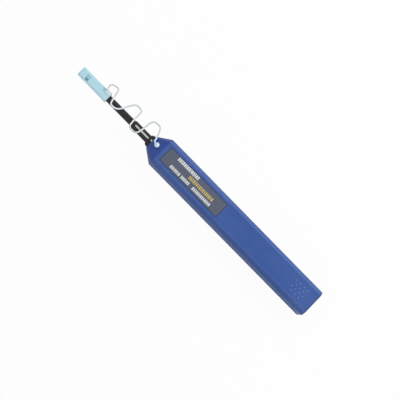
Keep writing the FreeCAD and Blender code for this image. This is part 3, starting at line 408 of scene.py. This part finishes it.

# %% [markdown]
# ## The pale blue cap and the clear strap
# The cap is thin translucent polypropylene. Light enters it, scatters and comes out nearby, so it
# glows a little, and its thick rims look denser and greyer than its thin faces. Subsurface
# scattering gives the glow; the rims come from the distance to the cap's own edges. Its side walls
# are painted paler from that distance too, as painted light for the light they take from both
# sides. The strap's colour is painted by place as painted show-through of what lies behind its
# clear plastic: grey by itself, painted bright over the black nozzle, painted bluish on the casing
# and painted tinted on the cap.

# %% Translucent plastics
def cap_plastic():
    made = finish("pale blue translucent cap", Subsurface_Weight=0.08, Subsurface_Scale=0.001,
                  Subsurface_Radius=(0.6, 1.0, 1.2), IOR=1.49)
    x, y, z = made.along()
    pits, cloud = made.noise(0.3 * MM, 2.0), made.noise(2.5 * MM, 3.0)
    half = (cap_high.y - cap_low.y) / 2
    sideways, upright = half - abs(y), half - abs(z - axis_height)
    ends = (x - cap_low.x).upto(lid_high.x - x)
    edge = sideways.atleast(upright).upto(ends.atleast(sideways.upto(upright)))
    rim = edge.fade(0.1 * MM, 0.9 * MM)
    painted_wall_light = sideways.fade(0.12 * MM, 0.5 * MM)
    over_tube = sideways.fade(3.4 * MM, 1.2 * MM) * (x - cap_low.x).fade(12 * MM, 9 * MM)
    body = made.mix(cloud, (0.465, 0.735, 0.86), (0.535, 0.81, 0.935))
    shaded = made.mix(over_tube * 0.25, body, (0.44, 0.69, 0.81))
    # Painted light: the side walls are painted paler, for the light they take from both sides.
    pale = made.mix(painted_wall_light * 0.6, shaded, (0.73, 0.93, 0.98))
    return made.shape(Base_Color=made.mix(rim * 0.35, pale, (0.52, 0.70, 0.75)),
                      Roughness=pits * 0.12 + 0.30, Normal=made.relief(pits, 0.012 * MM, 0.5))


cap_blue = cap_plastic()


def strap_plastic():
    made = moulding("clear moulded strap", grain=0.22 * MM, streak=3 * MM, Coat_Weight=0.15,
                    Coat_Roughness=0.2)
    x, y, z = made.along()
    # Painted show-through light: by place, the strap is painted bright over the black nozzle, bluish on the casing
    # and tinted on the cap.
    over_casing = x.fade(neck_front - 2.5 * MM, neck_front + 0.5 * MM)
    over_nozzle = abs(y).fade(2.7 * MM, 3.7 * MM)
    over_cap = (x - cap_rear).fade(0.2 * MM, -0.6 * MM) * abs(y).fade(4.2 * MM, 4.8 * MM)
    grey = made.mix(made.share, (0.60, 0.66, 0.66), (0.70, 0.75, 0.75))
    bright = made.mix(over_nozzle, grey, (0.84, 0.90, 0.92))
    tinted = made.mix(over_cap * 0.9, bright, (0.66, 0.79, 0.84))
    bluish = made.mix(over_casing * 0.9, tinted, (0.68, 0.82, 0.97))
    return grained(made, bluish, rough=0.30, depth=0.008 * MM)


strap_clear = strap_plastic()

# %% [markdown]
# ## Steel and thread
# The spring and the pin are steel: drawn wire keeps fine lines along its length, ground pin has
# rings. The cleaning thread is hundreds of fine fibres, twisted, so it is bright, rough and
# finely ribbed.

# %% Steel and thread
def steel(name, rough):
    made = finish(name, Metallic=1.0)
    lines = made.noise(0.12 * MM, 2.0, made.stretched(0.15, 1, 1))
    return made.shape(Base_Color=made.mix(lines, (0.50, 0.50, 0.51), (0.64, 0.64, 0.65)),
                      Roughness=lines * 0.18 + rough, Normal=made.relief(lines, 0.004 * MM, 0.5))


def thread_fibre():
    made = finish("micro-fibre thread", Sheen_Weight=0.3, Sheen_Roughness=0.6)
    fibres = made.noise(0.06 * MM, 2.0, made.stretched(0.3, 1, 1))
    bands = {"wave_type": "BANDS", "bands_direction": "DIAGONAL"}
    sockets = {"Vector": made.place(), "Scale": 1 / (0.9 * MM), "Distortion": 1.5}
    ribs = fibres * 0.4 + made.add("ShaderNodeTexWave", bands, sockets, output="Fac") * 0.6
    return made.shape(Base_Color=made.mix(ribs, (0.66, 0.66, 0.63), (0.86, 0.86, 0.84)),
                      Roughness=ribs * 0.1 + 0.8, Normal=made.relief(ribs, 0.03 * MM, 0.7))


spring_steel, pin_steel = steel("drawn spring steel", 0.22), steel("ground steel pin", 0.15)
thread_white = thread_fibre()

# %% Give every CAD node its finish
finishes = {
    "casing_blue": casing_blue, "label_slate": label_slate, "collar_black": collar_black,
    "nozzle_black": nozzle_black, "acetal_white": white_acetal, "frame_natural": natural_nylon,
    "cap_blue": cap_blue, "tether_clear": strap_clear, "spring_steel": spring_steel,
    "pin_steel": pin_steel, "thread_white": thread_white,
}


def dress(obj, material):
    """Put one finish on every slot of an object."""
    if not obj.material_slots:
        obj.data.materials.append(material)
    for place in obj.material_slots:
        place.material = material


for row in frame["record"]["subparts"]:
    dress(frame["nodes"][row["node"]], finishes[row["material_slot"]])
dress(frame["nodes"]["ferrule_guide"], guide_blue)

# %% [markdown]
# ## The strap's strand
# The strap is moulded with its waves in it, so it holds this shape and doesn't sag like a cord. A
# smooth NURBS curve is the natural tool: its points are the corners of the waves, and the curve
# rounds them by itself. Each corner is a share of the way back, of the sideways swing and of the
# climb to the ball.

# %% The curve of the strand
strand_radius, ball_radius = 0.575 * MM, 1.85 * MM
level = axis_height + 4.85 * MM
run, swing = cap_rear - neck_front, 12 * MM
ball_slope = math.atan2(shoulder_rise, shoulder_length)
ball_normal = Vector((math.sin(ball_slope), 0, math.cos(ball_slope)))
ball_seat = Vector((neck_front - 4.8 * MM, 0, axis_height + 6.675 * MM))
ball_centre = ball_seat + ball_normal * ball_radius * 0.75
climb = ball_centre.z - level
arm_x, arm_y = cap_rear + 4.38 * MM, cap_low.y + 0.3 * MM
waves = [
    (-0.126, -0.45, 0), (-0.112, -0.68, 0), (-0.04, -0.76, 0), (0.026, -0.76, 0),
    (0.048, -0.46, 0), (0.072, -0.05, 0), (0.096, 0.23, 0), (0.190, 0.22, 0),
    (0.253, 0.075, 0), (0.30, -0.235, 0), (0.351, -0.60, 0), (0.402, -0.865, 0),
    (0.514, -0.865, 0), (0.549, -0.715, 0), (0.544, -0.30, 0), (0.553, 0.10, 0),
    (0.567, 0.36, 0), (0.672, 0.42, 0), (0.735, 0.285, 0), (0.756, -0.135, 0),
    (0.765, -0.585, 0), (0.788, -0.915, 0), (0.905, -0.975, 0.05), (0.953, -0.88, 0.12),
    (0.990, -0.60, 0.3), (1.016, -0.30, 0.55), (1.026, -0.03, 0.85),
]
route = [Vector((arm_x, arm_y, level))]
route += [Vector((cap_rear - x * run, y * swing, level + z * climb)) for x, y, z in waves]
route.append(ball_centre + Vector((0.5, 0, 0)) * ball_radius)


def strand_mesh():
    """A round tube along a smooth NURBS curve, turned into a mesh."""
    curve = bpy.data.curves.new("strap strand", "CURVE")
    curve.dimensions = "3D"
    spline = curve.splines.new("NURBS")
    spline.points.add(len(route) - 1)
    for point, place in zip(spline.points, route):
        point.co = (*place, 1)
    spline.order_u = 3
    spline.use_endpoint_u = True
    curve.resolution_u = 12
    curve.bevel_depth, curve.bevel_resolution = strand_radius, 3
    curve.use_fill_caps = True
    made = bpy.data.objects.new("strap strand", curve)
    bpy.context.collection.objects.link(made)
    only(made)
    bpy.ops.object.convert(target="MESH")
    return bpy.context.object


strand = strand_mesh()
print("strand", len(strand.data.polygons), "faces")

# %% [markdown]
# ## Cutting the strand where the joints act
# The nozzle pushes back into the casing, the tube slides out, and the cap pulls off. One moulded
# strand has to follow all three, and a piece can bend between only two bodies. So the strand is
# cut into three lengths that meet exactly, each between two of the bodies.

# %% Three lengths of strand
def length_of_strand(name, rear, front):
    """A copy of the strand between two planes across the pen, closed at its cuts."""
    piece = strand.copy()
    piece.data = strand.data.copy()
    bpy.context.collection.objects.link(piece)
    for place, inner in ((rear, True), (front, False)):
        if place is None:
            continue
        only(piece)
        bpy.ops.object.mode_set(mode="EDIT")
        bpy.ops.mesh.select_all(action="SELECT")
        bpy.ops.mesh.bisect(plane_co=(place, 0, 0), plane_no=(1, 0, 0), use_fill=True,
                            clear_inner=inner, clear_outer=not inner)
    only(piece)
    dress(piece, strap_clear)
    settle(piece, name, 50)
    return piece


def stretch(piece, near, far):
    """Apply a length of strand's place to its mesh, and print the two bodies it lies between."""
    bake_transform(piece)
    print(piece.name, near, "to", far, len(piece.data.polygons), "faces")


first_cut = cap_rear - 28 * MM
second_cut = cap_rear - 8.5 * MM
rear_strand = length_of_strand("strap_strand_rear", None, first_cut)
middle_strand = length_of_strand("strap_strand_middle", first_cut, second_cut)
front_strand = length_of_strand("strap_strand_front", second_cut, None)
stretch(rear_strand, "casing", "carriage")
stretch(middle_strand, "carriage", "nozzle")
stretch(front_strand, "nozzle", "cap")
bpy.data.objects.remove(strand)

# %% [markdown]
# ## The strap's ball peg
# A ball with a short stem snaps into a hole in the casing's sloping shoulder. It starts as a
# sphere with its pole along the slope's normal; the mould leaves a round dimple at that pole, the
# seat cuts the underside flat, and the stem is drawn out of that cut into the hole.

# %% Ball peg
def ball_peg():
    bpy.ops.mesh.primitive_uv_sphere_add(segments=40, ring_count=24, radius=ball_radius,
                                         location=ball_centre, rotation=(0, ball_slope, 0))
    ball = only(bpy.context.object)
    bpy.ops.object.transform_apply(location=True, rotation=True, scale=True)
    only(ball)
    bpy.ops.object.mode_set(mode="EDIT")
    bpy.ops.mesh.select_all(action="SELECT")
    bpy.ops.mesh.bisect(plane_co=ball_seat + ball_normal * 0.01 * MM, plane_no=ball_normal,
                        use_fill=True, clear_inner=True)

    def near_pole(centre, normal):
        return (centre - ball_centre).dot(ball_normal) > ball_radius * 0.9

    def on_cut(centre, normal):
        return normal.dot(ball_normal) < -0.99 and (centre - ball_seat).dot(ball_normal) < 0.1 * MM

    pick(ball, "FACE", near_pole)
    bpy.ops.mesh.inset(thickness=0.12 * MM)
    bpy.ops.transform.translate(value=ball_normal * -0.22 * MM)
    pick(ball, "FACE", on_cut)
    bpy.ops.mesh.inset(thickness=0.62 * MM)
    bpy.ops.mesh.extrude_region_move(TRANSFORM_OT_translate={"value": ball_normal * -1.5 * MM})
    dress(ball, strap_clear)
    return settle(ball, "strap_ball_peg", 40)


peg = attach(ball_peg(), "casing")
print("ball peg", len(peg.data.polygons), "faces")

# %% [markdown]
# ## The strap's lug
# At the other end the strap is moulded onto the cap. A thin plate lies along the cap's side, a
# tab folds over its top, and a short post on the tab carries the strand. Each is a block with
# softened edges, and the side plate has a shallow panel sunk in it as the real moulding has.

# %% Lug on the cap
def strap_lug():
    side, top = cap_low.y - 0.02 * MM, cap_high.z + 0.02 * MM
    rear, front = cap_rear + 0.3 * MM, cap_rear + 5.3 * MM
    plate_thickness, tab_thickness, tab_width = 0.28 * MM, 0.3 * MM, 2.9 * MM
    upper = top + tab_thickness
    plate = box_piece((rear, side - plate_thickness, axis_height - 1.6 * MM), (front, side, upper))
    pick(plate, "FACE", lambda centre, normal: normal.y < -0.9)
    bpy.ops.mesh.inset(thickness=0.6 * MM)
    bpy.ops.transform.translate(value=(0, 0.08 * MM, 0))
    tab = box_piece((rear, side - 0.1 * MM, top), (front, side + tab_width, upper))
    post = box_piece((arm_x - strand_radius, arm_y - strand_radius, top + 0.1 * MM),
                     (arm_x + strand_radius, arm_y + strand_radius, level + strand_radius))
    for piece in (plate, tab, post):
        soften(piece, 0.08 * MM)
    only(plate)
    for piece in (tab, post):
        piece.select_set(True)
    bpy.ops.object.join()
    dress(plate, strap_clear)
    return settle(plate, "strap_lug")


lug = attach(strap_lug(), "cap")
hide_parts("tether")
print("lug", len(lug.data.polygons), "faces")

# %% [markdown]
# ## The lock button's pad
# A hole in the collar leads down to the lock button. A small white pad fills it, so that a
# fingertip can press the button, and its rounded top is all that shows.

# %% Pad over the lock button
def lock_pad():
    button_low, button_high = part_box("lock_button")
    collar_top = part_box("nose_collar")[1].z
    bottom, top = button_high.z, collar_top + 0.35 * MM
    centre = (button_low + button_high) / 2
    bpy.ops.mesh.primitive_cylinder_add(vertices=28, radius=0.62 * MM, depth=top - bottom,
                                        location=(centre.x, centre.y, (top + bottom) / 2))
    pad = only(bpy.context.object)
    bpy.ops.object.transform_apply(location=True, rotation=True, scale=True)
    pick(pad, "FACE", lambda place, normal: normal.z > 0.9)
    bpy.ops.mesh.bevel(offset=0.25 * MM, segments=3)
    dress(pad, white_acetal)
    settle(pad, "lock_button_pad", 50)
    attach(pad, "casing")
    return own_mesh(pad, "lock_press", axis=(0, 0, 1), anchor=(centre.x, 0, bottom),
                     keep=1 - travel("lock_press") / (top - bottom))


print("pad", len(lock_pad().data.polygons), "faces")

# %% [markdown]
# ## The return spring and the thread
# Two pieces inside the casing change shape as the pen works. The spring shortens by the whole
# stroke, and the thread is drawn out with the tip. Each is a welded copy of its CAD node.

# %% Spring and thread as welded copies
def welded_copy(node, name):
    """A copy of a CAD node with its corners merged, which stands in for that node."""
    copy = frame["nodes"][node].copy()
    copy.data = frame["nodes"][node].data.copy()
    copy.parent = None
    bpy.context.collection.objects.link(copy)
    only(copy)
    bpy.ops.object.mode_set(mode="EDIT")
    bpy.ops.mesh.select_all(action="SELECT")
    bpy.ops.mesh.remove_doubles(threshold=0.0005 * MM)
    settle(copy, name, 40)
    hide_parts(node)
    return copy


spring_low, spring_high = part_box("return_spring")
kept_share = 1 - travel("nozzle_push") / (spring_high.x - spring_low.x)
spring = welded_copy("return_spring", "coiled_return_spring")
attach(spring, "casing")
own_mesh(spring)
thread = welded_copy("cleaning_thread", "drawn_cleaning_thread")
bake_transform(thread)
print("spring keeps", round(kept_share, 3), "of its length")

# %% [markdown]
# ## The label's print
# The print is generic: three lines of plain upright bars, two in white and one in amber. Ink is a
# film, so every bar is a very thin block laid on the vinyl, with its upright edges rounded. The
# bars of a line take turns in width and height, so that it looks like print without being any.

# %% Ink bars
ink_thickness = 0.03 * MM


def ink_bar(start, length, centre, height):
    """One bar of ink; start is the distance from the label's nozzle end."""
    bar = box_piece((label_high.x - start - length, centre - height / 2, label_high.z),
                    (label_high.x - start, centre + height / 2, label_high.z + ink_thickness))
    pick(bar, "EDGE", lambda a, b: abs(a.z - b.z) > ink_thickness / 2)
    bpy.ops.mesh.bevel(offset=min(length, height) * 0.35, segments=3)
    return only(bar)


def ink_line(name, runs, centre, height, material, widths, gap):
    """A line made of runs of bars, in millimetres; a run is its start and its number of bars."""
    pieces = []
    for start, count in runs:
        place = start
        for index in range(count):
            width = widths[(index + count) % len(widths)]
            rise = 0.12 * ((index * 2 + count) % 3)
            pieces.append(ink_bar(place * MM, width * MM, centre * MM, (height - rise) * MM))
            place += width + gap
    only(pieces[0])
    for piece in pieces[1:]:
        piece.select_set(True)
    bpy.ops.object.join()
    line = settle(pieces[0], name)
    dress(line, material)
    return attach(line, "casing")


ink_line("label_print_upper", [(9.2, 14)], centre=-4.15, height=2.9, material=white_ink,
         widths=(1.0, 0.7, 1.1), gap=0.5)
ink_line("label_print_middle", [(23.3, 16)], centre=-0.35, height=2.9, material=amber_ink,
         widths=(0.8, 1.0, 0.7, 1.1), gap=0.58)
ink_line("label_print_lower", [(8.6, 7), (19.1, 6), (30.2, 13)], centre=3.6, height=2.5,
         material=white_ink, widths=(0.7, 1.0, 0.8), gap=0.5)
print("label print", label_high.z + ink_thickness)

# %% [markdown]
# ## Raised marks near the tail
# A moulded casing usually carries small raised marks near its end. Here they are plain pips in
# short staggered rows, each with a rounded top coloured lighter: one is modelled, and the others
# are copies.

# %% Pips with lighter tops
def light_topped_plastic():
    made = finish("rubbed blue plastic")
    pits = made.noise(0.3 * MM, 2.0)
    # The top of each pip is coloured lighter.
    top = made.along()[2].fade(casing_high.z + 0.16 * MM, casing_high.z + 0.04 * MM)
    body = made.mix(pits, (0.03, 0.09, 0.34), (0.05, 0.12, 0.38))
    return made.shape(Base_Color=made.mix(top * 0.9, body, (0.15, 0.28, 0.66)),
                      Roughness=pits * 0.1 + 0.25, Normal=made.relief(pits, 0.01 * MM, 0.4))


def pip(place):
    """One low round pip, half sunk in the casing."""
    radius, height = 0.5 * MM, 0.2 * MM
    bpy.ops.mesh.primitive_cylinder_add(vertices=16, radius=radius, depth=height * 2,
                                        location=place)
    made = only(bpy.context.object)
    bpy.ops.object.transform_apply(location=True, rotation=True, scale=True)
    pick(made, "FACE", lambda centre, normal: normal.z > 0.9)
    bpy.ops.mesh.bevel(offset=height * 0.9, segments=3)
    return only(made)


def tail_pips():
    first = pip(Vector((casing_low.x + 9.4 * MM, -3.7 * MM, casing_high.z)))
    column_pitch, row_pitch = 3.6, 2.7
    copies = []
    for row, columns in enumerate(((1, 2, 3), (0.5, 1.5, 2.5), (0, 1, 2, 3), (0.5, 1.5, 2.5))):
        for column in columns:
            copy = first.copy()
            copy.data = first.data.copy()
            copy.location = Vector((column * column_pitch, row * row_pitch, 0)) * MM
            bpy.context.collection.objects.link(copy)
            copies.append(copy)
    only(first)
    for copy in copies:
        copy.select_set(True)
    bpy.ops.object.join()
    dress(first, light_topped_plastic())
    return settle(first, "tail_pips", 45)


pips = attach(tail_pips(), "casing")
print("pips", len(pips.data.polygons), "faces")

# %% [markdown]
# ## The lid's film hinge
# Cap and lid are one moulding, joined by a film of the same plastic along the top edge. On the pen
# the film bends so that the lid opens without tearing; here it is a thin strip across the joint,
# cut into many small faces.

# %% Film hinge
hinge_x, half_width = cap_high.x, 2.6 * MM
film = box_piece((hinge_x - 0.5 * MM, -half_width, lid_high.z - 0.02 * MM),
                 (hinge_x + 0.6 * MM, half_width, lid_high.z + 0.06 * MM))
bpy.ops.object.mode_set(mode="EDIT")
bpy.ops.mesh.select_all(action="SELECT")
bpy.ops.mesh.subdivide(number_cuts=7)
dress(settle(film, "lid_film_hinge", 60), cap_blue)
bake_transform(film)
print("film", len(film.data.polygons), "faces")

# %% [markdown]
# ## Floor, light and camera
# A white sweep under soft light is the usual setting for a catalogue picture. The world gives an
# even level, one large soft lamp models the bevels, and a weaker one fills the other side. The
# floor looks white to the camera and still takes the pen's soft shadow.

# %% Floor and world
def white_floor():
    made = finish("white floor", Roughness=0.9)
    made.shape(Base_Color=(0.86, 0.86, 0.86))
    paths = made.add("ShaderNodeLightPath", output="Is Camera Ray")
    white = made.add("ShaderNodeEmission", (), {"Color": (1, 1, 1), "Strength": 1.0})
    output = made.tree.nodes["Material Output"]
    surface = Value(made, made.shader.outputs[0])
    both = made.add("ShaderNodeMixShader", (), {0: paths * 0.95, 1: surface, 2: white})
    made.tree.links.new(both.socket, output.inputs["Surface"])
    return made.material


bpy.ops.mesh.primitive_plane_add(size=6, location=(0, 0, -0.0004))
floor = settle(bpy.context.object, "floor")
dress(floor, white_floor())

world = bpy.data.worlds.new("studio")
bpy.context.scene.world = world
studio = Finish(world)
light_path = studio.add("ShaderNodeLightPath")
seen = [Value(studio, light_path.socket.node.outputs[name])
        for name in ("Is Camera Ray", "Is Glossy Ray", "Is Transmission Ray")]
camera_ray, glossy_ray, transmission_ray = seen
studio_level = 0.64
open_view = camera_ray.atleast(glossy_ray * 0.75).atleast(transmission_ray)
background = studio.tree.nodes["Background"]
studio.feed(background.inputs["Color"], (1, 1, 1))
studio.feed(background.inputs["Strength"], open_view * (1 - studio_level) + studio_level)

# %% Lamps
pen_middle = (cad_box[0] + cad_box[1]) / 2


def soft_lamp(name, toward, distance, size, share):
    """An area lamp that adds this share of a white surface's brightness when it faces the lamp."""
    light = bpy.data.lights.new(name, "AREA")
    light.shape, light.size = "SQUARE", size
    light.energy = share * (math.pi * distance) ** 2
    lamp = bpy.data.objects.new(name, light)
    direction = Vector(toward).normalized()
    lamp.location = pen_middle + direction * distance
    lamp.rotation_mode = "QUATERNION"
    lamp.rotation_quaternion = direction.to_track_quat("Z", "Y")
    bpy.context.collection.objects.link(lamp)
    return lamp


soft_lamp("key lamp", (-0.5, -0.75, 0.55), 1.1, 0.6, 0.55)
soft_lamp("fill lamp", (0.1, 0.8, 0.5), 1.2, 0.8, 0.03)

# %% Camera
def view_camera(toward, roll, distance, lens, aim):
    """A long lens, so that perspective is slight; aim moves the pen off the picture's centre."""
    back = Vector(toward).normalized()
    right = Vector((1, 0, 0)).cross(back).normalized()
    up = back.cross(right)
    turned_right = right * math.cos(roll) + up * math.sin(roll)
    turned_up = up * math.cos(roll) - right * math.sin(roll)
    camera = bpy.data.objects.new("camera", bpy.data.cameras.new("camera"))
    camera.data.lens, camera.data.clip_start, camera.data.clip_end = lens, 0.05, 20
    axes = Matrix((turned_right, turned_up, back)).transposed().to_4x4()
    place = pen_middle + turned_right * aim[0] + turned_up * aim[1] + back * distance
    camera.matrix_world = Matrix.Translation(place) @ axes
    bpy.context.collection.objects.link(camera)
    return camera


bpy.context.scene.camera = view_camera(toward=(0.0458, 0.1733, 0.9838), roll=math.radians(-44.46),
                                       distance=0.765, lens=97.56, aim=(0.001995, -0.008675))
bpy.context.scene.view_settings.view_transform = "Standard"
